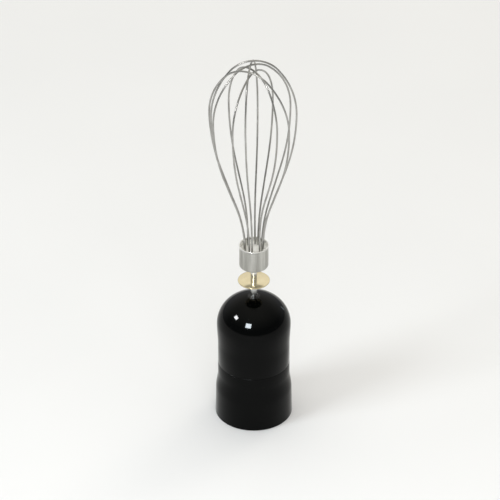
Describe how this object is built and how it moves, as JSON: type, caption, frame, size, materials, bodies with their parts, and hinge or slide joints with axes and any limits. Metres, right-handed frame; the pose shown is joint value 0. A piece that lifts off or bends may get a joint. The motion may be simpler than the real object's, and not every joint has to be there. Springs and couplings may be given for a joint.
{
  "type": "hand blender whisk attachment",
  "caption": "Balloon whisk of nested steel wire loops on a thin shaft, plugged into a black domed gearbox housing that clips onto a hand blender.",
  "frame": {"origin": "on the tool's axis, in the plane of the housing's bottom rim", "axes": "+Z along the axis, from the motor socket up to the top of the whisk; the widest pair of wire loops lies near the XZ plane"},
  "size_m": [0.0522, 0.0472, 0.2479],
  "materials": {
    "housing": "polished black moulded plastic",
    "inner_plastic": "dark grey moulded plastic",
    "gear_plastic": "natural acetal",
    "steel": "turned",
    "bronze": "sintered bronze",
    "seal": "black nitrile rubber",
    "polished_steel": "polished stainless steel",
    "brushed_steel": "finely brushed stainless steel",
    "disc": "polished, pale brass tone"
  },
  "bodies": {
    "housing": {"coupling_base": "housing", "dome_cover": "housing", "gear_plate": "inner_plastic", "gear_plate_screws": "steel", "ring_gear": "gear_plastic", "input_bush": "bronze", "input_washer": "steel", "output_bush": "bronze", "thrust_washer": "steel", "shaft_seal": "seal"},
    "input": {"drive_coupling": "inner_plastic", "input_spindle": "steel", "input_circlip": "steel", "sun_gear": "steel"},
    "output": {"carrier": "steel", "carrier_plate": "steel", "planet_pin_1": "steel", "planet_pin_2": "steel", "planet_pin_3": "steel", "shaft_clip": "steel"},
    "planet_1": {"planet_gear_1": "gear_plastic"},
    "planet_2": {"planet_gear_2": "gear_plastic"},
    "planet_3": {"planet_gear_3": "gear_plastic"},
    "whisk": {"whisk_shaft": "polished_steel", "flange_disc": "disc", "whisk_collar": "brushed_steel", "collar_plug": "steel", "wire_loop_1": "polished_steel", "wire_loop_2": "polished_steel", "wire_loop_3": "polished_steel", "wire_loop_4": "polished_steel", "wire_loop_5": "polished_steel", "wire_loop_6": "polished_steel"}
  },
  "joints": [
    {"name": "whisk_spin", "type": "hinge", "parent": "housing", "child": "output", "pos_m": [0, 0, 0.07], "axis": [0, 0, 1], "continuous": true},
    {"name": "input_spin", "type": "hinge", "parent": "housing", "child": "input", "pos_m": [0, 0, 0.03], "axis": [0, 0, 1], "continuous": true},
    {"name": "planet_1_spin", "type": "hinge", "parent": "output", "child": "planet_1", "pos_m": [0.00945, 0, 0.0382], "axis": [0, 0, 1], "continuous": true},
    {"name": "planet_2_spin", "type": "hinge", "parent": "output", "child": "planet_2", "pos_m": [-0.00473, 0.00818, 0.0382], "axis": [0, 0, 1], "continuous": true},
    {"name": "planet_3_spin", "type": "hinge", "parent": "output", "child": "planet_3", "pos_m": [-0.00473, -0.00818, 0.0382], "axis": [0, 0, 1], "continuous": true},
    {"name": "whisk_pull", "type": "slide", "parent": "output", "child": "whisk", "axis": [0, 0, 1], "range_m": [0, 0.036]}
  ],
  "couplings": [
    {"joint": "input_spin", "follows": "whisk_spin", "ratio": 4.5},
    {"joint": "planet_1_spin", "follows": "whisk_spin", "ratio": -2.8},
    {"joint": "planet_2_spin", "follows": "whisk_spin", "ratio": -2.8},
    {"joint": "planet_3_spin", "follows": "whisk_spin", "ratio": -2.8}
  ]
}
